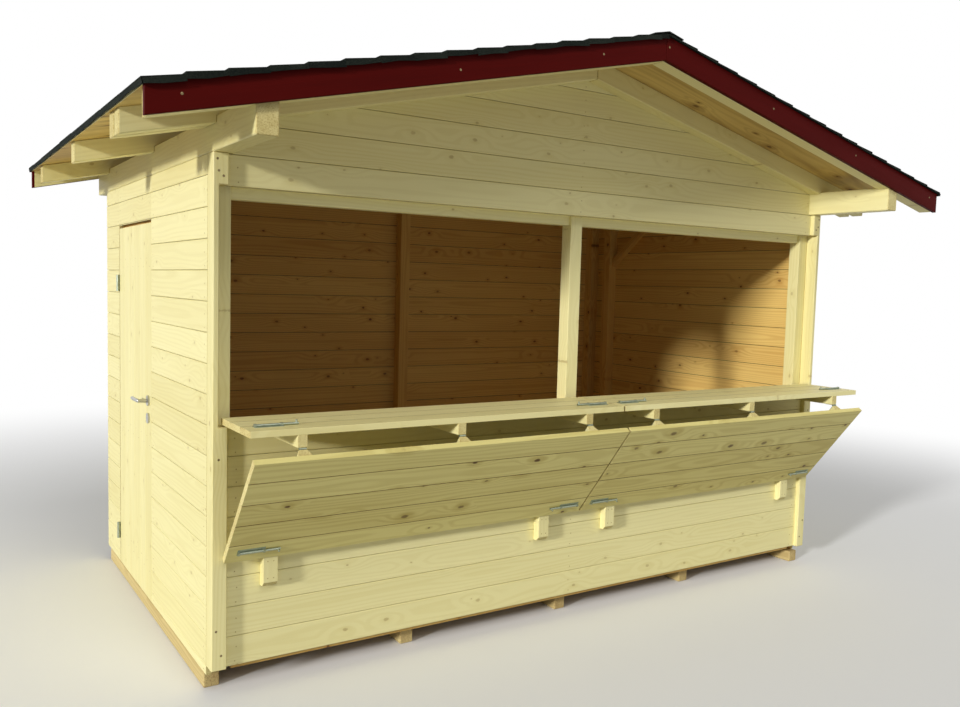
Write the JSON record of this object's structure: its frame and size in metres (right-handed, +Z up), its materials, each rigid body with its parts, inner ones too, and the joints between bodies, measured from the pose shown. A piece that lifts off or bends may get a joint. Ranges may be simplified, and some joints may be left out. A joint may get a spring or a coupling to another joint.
{
  "type": "market stall",
  "caption": "Closed wooden market stall with a gabled roof, a long front serving opening whose folding shutters form a counter, and a boarded side door",
  "frame": {"origin": "middle of the whole stall's plan, roof overhangs included, at ground level", "axes": "+Z up, the serving front faces -Y, +X to the right of someone who looks at the front"},
  "size_m": [4.334, 2.859, 2.7413],
  "materials": {
    "painted_boards": "satin",
    "painted_door": "satin",
    "painted_leaves": "satin",
    "painted_timber": "satin",
    "natural_timber": "matte",
    "bearer_timber": "matte",
    "floor_boards": "matte",
    "roof_boards": "matte",
    "barge_paint": "satin",
    "roof_felt": "matte",
    "zinc_fittings": "satin",
    "lever_metal": "satin"
  },
  "bodies": {
    "stall": {"back_barge_boards": "barge_paint", "back_gable": "painted_boards", "back_rafters": "painted_timber", "back_wall": "painted_boards", "barrel_bolts": "zinc_fittings", "bearers": "bearer_timber", "bottom_plates": "natural_timber", "centre_post": "painted_timber", "counter_battens": "painted_timber", "counter_leaves": "painted_leaves", "door_header": "natural_timber", "door_hinges_frame_side": "zinc_fittings", "door_stops": "natural_timber", "flap_battens": "painted_timber", "flap_leaves": "painted_leaves", "floor_deck": "floor_boards", "fly_rafters": "painted_timber", "front_barge_boards": "barge_paint", "front_gable": "painted_boards", "front_lower_wall": "painted_boards", "front_posts": "painted_timber", "front_rafters": "painted_timber", "front_rails": "natural_timber", "head_beam": "painted_timber", "left_wall_front": "painted_boards", "left_wall_over_door": "painted_boards", "left_wall_rear": "painted_boards", "middle_rafters": "painted_timber", "outer_rafters": "painted_timber", "ridge_cap": "roof_felt", "right_wall": "painted_boards", "roof_deck_left": "roof_boards", "roof_deck_right": "roof_boards", "shingles_left": "roof_felt", "shingles_right": "roof_felt", "shutter_hinges": "zinc_fittings", "wall_brace": "natural_timber", "wall_cleats": "painted_timber", "wall_plates": "painted_timber", "wall_studs": "natural_timber"},
    "door": {"door_leaf": "painted_door", "door_ledges": "natural_timber", "door_hinges_leaf_side": "zinc_fittings", "lock_plates": "lever_metal"},
    "lever": {"lever_handle": "lever_metal"}
  },
  "joints": [
    {"name": "door_hinge", "type": "hinge", "parent": "stall", "child": "door", "pos_m": [-1.809, 0.798, 1], "axis": [0, 0, -1], "range_deg": [0, 170]},
    {"name": "lever_turn", "type": "hinge", "parent": "door", "child": "lever", "pos_m": [-1.79, 0.1255, 1.04], "axis": [-1, 0, 0], "range_deg": [0, 40]}
  ]
}
